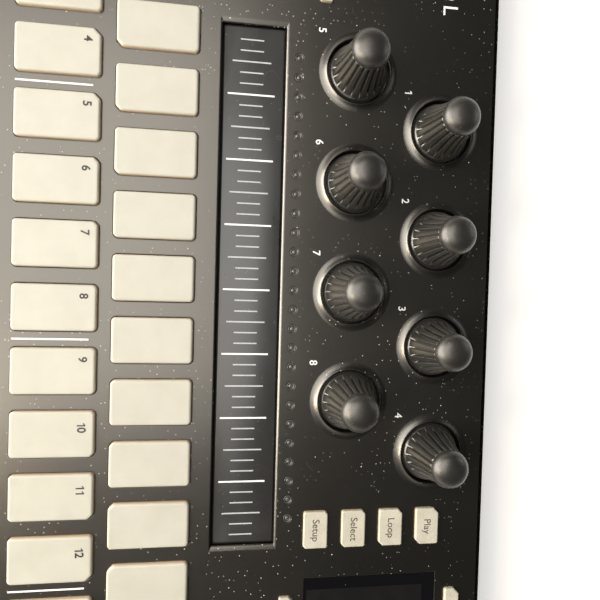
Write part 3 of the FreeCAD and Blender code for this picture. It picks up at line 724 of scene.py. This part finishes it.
def light_pieces():
    """The guide's bar under the panel, with a ringed lens at each hole."""
    low, high = (Vector(c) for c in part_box("light_guide"))
    pitch = (high.x - low.x - GUIDE_SPARE) / LIGHTS
    row = (low.y + high.y) / 2 - LIGHTS_AHEAD
    bar = [(low.x, low.y), (high.x, low.y), (high.x, high.y), (low.x, high.y)]
    bar_rings = []
    for inset, z in ((BAR_EDGE, low.z), (0.0, low.z + BAR_EDGE), (0.0, BAR_TOP - BAR_EDGE),
                     (BAR_EDGE, BAR_TOP)):
        plan = rounded_outline(bar, BAR_CORNER)
        bar_rings.append([(p.x - n.x * inset, p.y - n.y * inset, z) for p, n in plan])
    vertices, faces = skin(bar_rings)
    for number in range(LIGHTS):
        x = (low.x + high.x) / 2 + pitch * (number - (LIGHTS - 1) / 2)
        rings = []
        for radius, z in LENS:
            rings.append([(x + radius * MM * math.cos(2 * math.pi * i / LENS_SIDES),
                           row + radius * MM * math.sin(2 * math.pi * i / LENS_SIDES),
                           PANEL_TOP + z * MM) for i in range(LENS_SIDES)])
        more, skins = skin(rings)
        first = len(vertices)
        vertices += more
        faces += [tuple(first + i for i in face) for face in skins]
    finish_piece(mesh_piece("light_lenses", vertices, faces, lens), "case", "light_plastic",
                 "light_guide")


STRIP_CORNER = 2.6 * MM
STRIP_TUCK = 1.4 * MM                   # how far the strip goes under the panel
STRIP_GROOVE = 0.5 * MM                 # the gap round the strip's raised face
GROOVE_FLOOR = 0.7 * MM                 # that gap's depth under the face
SCALE_STEP = 11.347 * MM / 3            # between the strip's neighbouring strokes
SCALE_RIGHT = 0.7 * MM                  # of the strip's middle
SCALE_AHEAD = 0.85 * MM
LONG_STROKE = (0.60 * MM, 16.3 * MM)    # breadth and length
MEDIUM_STROKE = (0.52 * MM, 13.4 * MM)
SHORT_STROKE = (0.46 * MM, 8.1 * MM)


def strip_piece():
    """The strip's cover: a lip under the panel, a narrow groove, then the raised face."""
    low, high = (Vector(c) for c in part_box("touch_strip"))
    plan = [(low.x, low.y), (high.x, low.y), (high.x, high.y), (low.x, high.y)]
    outline = rounded_outline(plan, STRIP_CORNER)
    face = STRIP_TUCK + STRIP_GROOVE
    floor_z = high.z - GROOVE_FLOOR
    rings = []
    for inset, z in ((0.0, low.z), (0.0, floor_z), (face - 0.02 * MM, floor_z),
                     (face, floor_z + 0.02 * MM), (face, high.z - 0.16 * MM),
                     (face + 0.05 * MM, high.z - 0.05 * MM), (face + 0.16 * MM, high.z)):
        rings.append([(p.x - n.x * inset, p.y - n.y * inset, z) for p, n in outline])
    cover = mesh_piece("strip_cover", *skin(rings), strip_cover())
    finish_piece(cover, "case", "strip_plastic", "touch_strip")


def strip_marks():
    """The scale on the touch strip: long, medium and short strokes."""
    low, high = (Vector(c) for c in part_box("touch_strip"))
    marks = Print("strip_marks", ink("strip_ink", (0.34, 0.36, 0.38), (0.48, 0.51, 0.53), 0.4))
    bright = Print("strip_long_marks", white_ink)
    middle_x = (low.x + high.x) / 2 + SCALE_RIGHT
    row = (low.y + high.y) / 2 - SCALE_AHEAD
    lift = high.z + INK_LIFT
    for number in range(-23, 24):
        x = middle_x + SCALE_STEP * number
        if number % 6 == 0:
            bright.bar(x, row, lift, *LONG_STROKE)
        elif number % 3 == 0:
            marks.bar(x, row, lift, *MEDIUM_STROKE)
        else:
            marks.bar(x, row, lift, *SHORT_STROKE)
    finish_piece(marks.piece(), "case", "strip_plastic")
    finish_piece(bright.piece(), "case", "strip_plastic")


NUMBER_LEFT = 13.7 * MM                 # of a knob's axis
BACK_NUMBER_AHEAD = 12.6 * MM
FRONT_NUMBER_AHEAD = 13.4 * MM
NUMBER_BOLD = 0.05 * MM
DIVIDER_BREADTH = 0.6 * MM
DIVIDER_SHORT = 2.7 * MM                # how far it stops before the pads' back edges
TOP_WORD = "CONTROL"
WORD_END = -116.7 * MM                  # the last letter's middle
WORD_ROW = 69.2 * MM
WORD_PITCH = 6.6 * MM
WORD_HEIGHT = 5.6 * MM


def panel_print():
    """Knob numbers, a divider after every fourth lower pad, and the top word."""
    legends = Print("panel_legends", white_ink)
    lift = PANEL_TOP + INK_LIFT
    for number, node in enumerate(BACK_KNOBS + FRONT_KNOBS, start=1):
        centre = middle(node)
        ahead = BACK_NUMBER_AHEAD if node in BACK_KNOBS else FRONT_NUMBER_AHEAD
        legends.number(number, FIGURE_HEIGHT, centre.x - NUMBER_LEFT, centre.y - ahead, lift,
                       NUMBER_BOLD)
    for number in (4, 8, 12):
        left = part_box(f"pad_lower_{number:02d}")
        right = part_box(f"pad_lower_{number + 1:02d}")
        x = (left[1][0] + right[0][0]) / 2
        back = left[1][1] - FLANGE - DIVIDER_SHORT
        front = left[0][1] + FLANGE
        legends.bar(x, (back + front) / 2, lift, DIVIDER_BREADTH, back - front)
    for place, letter in enumerate(reversed(TOP_WORD)):
        legends.words(letter, WORD_HEIGHT, WORD_END - place * WORD_PITCH, WORD_ROW, lift)
    finish_piece(legends.piece(), "case", "case_plastic")


def display_area():
    """The display's own area, slightly paler than the window's border round it."""
    low, high = (Vector(c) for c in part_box("display_window"))
    s = Shader("display_area")
    cloud = s.noise(9 * MM, 4.0, warp=1.0)
    s.set(Base_Color=s.mix(cloud, (0.006, 0.006, 0.007), (0.014, 0.013, 0.013)),
          Roughness=s.span(cloud, 0.3, 0.7, 0.08, 0.18))
    s.bump(cloud, 0.01 * MM, 0.1)
    shown = Print("display_area", s.material)
    side, front, back = 4.3 * MM, 1.0 * MM, 4.8 * MM
    shown.bar((low.x + high.x) / 2, (low.y + high.y + front - back) / 2, high.z + INK_LIFT,
              high.x - low.x - 2 * side, high.y - low.y - front - back)
    finish_piece(shown.piece(), "case", "window_plastic")


pad_pieces()
button_pieces()
knob_pieces()
light_pieces()
strip_piece()
strip_marks()
panel_print()
display_area()

# --- floor, light and camera --------------------------------------------------

FLOOR = 3.0                             # its half width


def pale_floor():
    """White paper with a slight glow, so that it stays white beside the object."""
    s = Shader("paper")
    s.set(Base_Color=s.mix(s.noise(0.4, 3.0), (0.90, 0.90, 0.895), (0.93, 0.93, 0.925)),
          Roughness=0.9, Emission_Color=(1.0, 1.0, 1.0, 1), Emission_Strength=0.22)
    floor = mesh_piece("floor", [(-FLOOR, -FLOOR, 0), (FLOOR, -FLOOR, 0), (FLOOR, FLOOR, 0),
                                 (-FLOOR, FLOOR, 0)], [(0, 1, 2, 3)], s.material)


pale_floor()


def area_light(name, place, target, size, power, colour):
    """A soft rectangular panel light that faces its target."""
    lamp = bpy.data.lights.new(name, "AREA")
    lamp.shape = "RECTANGLE"
    lamp.size, lamp.size_y = size
    lamp.energy = power
    lamp.color = colour
    holder = bpy.data.objects.new(name, lamp)
    bpy.context.scene.collection.objects.link(holder)
    holder.location = place
    holder.rotation_euler = (Vector(target) - Vector(place)).to_track_quat("-Z", "Y").to_euler()


area_light("ceiling_panel", (-0.20, -0.455, 0.92), (-0.20, -0.455, 0.0), (1.0, 0.93), 11.6,
           (1.0, 0.965, 0.92))
area_light("front_panel", (-0.12, -1.05, 0.42), (0.0, 0.0, 0.02), (1.2, 0.86), 27.0,
           (1.0, 0.95, 0.88))
area_light("warm_lamp", (0.27, -0.65, 0.68), (0.0, 0.0, 0.02), (0.22, 0.22), 3.2,
           (1.0, 0.84, 0.62))
area_light("back_panel", (-0.30, 0.95, 0.42), (0.0, 0.0, 0.02), (0.5, 0.35), 0.8,
           (0.95, 0.97, 1.0))


def studio_walls():
    """A pale wall on the player's side; the room is dim above and behind."""
    world = bpy.data.worlds.new("studio")
    world.use_nodes = True
    nodes = world.node_tree.nodes
    links = world.node_tree.links
    direction = nodes.new("ShaderNodeSeparateXYZ")
    links.new(nodes.new("ShaderNodeTexCoord").outputs["Generated"], direction.inputs[0])
    shares = []
    for axis, full, none, least in (("Z", 0.15, 0.55, 0.0), ("Y", -0.35, 0.45, 0.1)):
        fade = nodes.new("ShaderNodeMapRange")
        links.new(direction.outputs[axis], fade.inputs["Value"])
        fade.inputs["From Min"].default_value = full
        fade.inputs["From Max"].default_value = none
        fade.inputs["To Min"].default_value = 1.0
        fade.inputs["To Max"].default_value = least
        shares.append(fade.outputs["Result"])
    wall = nodes.new("ShaderNodeMath")
    wall.operation = "MULTIPLY"
    links.new(shares[0], wall.inputs[0])
    links.new(shares[1], wall.inputs[1])
    total = nodes.new("ShaderNodeMath")
    total.operation = "MULTIPLY_ADD"
    links.new(wall.outputs[0], total.inputs[0])
    total.inputs[1].default_value = 1.5
    total.inputs[2].default_value = 0.03
    links.new(total.outputs[0], nodes["Background"].inputs["Strength"])
    nodes["Background"].inputs["Color"].default_value = (1.0, 0.96, 0.90, 1)
    bpy.context.scene.world = world


studio_walls()

CAMERA_PLACE = Vector((-13.2, -3.9, 183.5)) * MM
VIEW = Vector((0.0207, 0.1274, -0.9916))
PICTURE_RIGHT = Vector((-0.0277, 0.9915, 0.1268))


def camera():
    lens_data = bpy.data.cameras.new("camera")
    lens_data.lens = 27.86
    lens_data.sensor_width = 36.0
    lens_data.clip_start = 0.01
    holder = bpy.data.objects.new("camera", lens_data)
    bpy.context.scene.collection.objects.link(holder)
    forward = VIEW.normalized()
    right = (PICTURE_RIGHT - forward * PICTURE_RIGHT.dot(forward)).normalized()
    up = right.cross(forward)
    turn = Matrix((right, up, -forward)).transposed()
    holder.matrix_world = Matrix.Translation(CAMERA_PLACE) @ turn.to_4x4()
    bpy.context.scene.camera = holder


camera()
bpy.context.scene.view_settings.view_transform = "Standard"
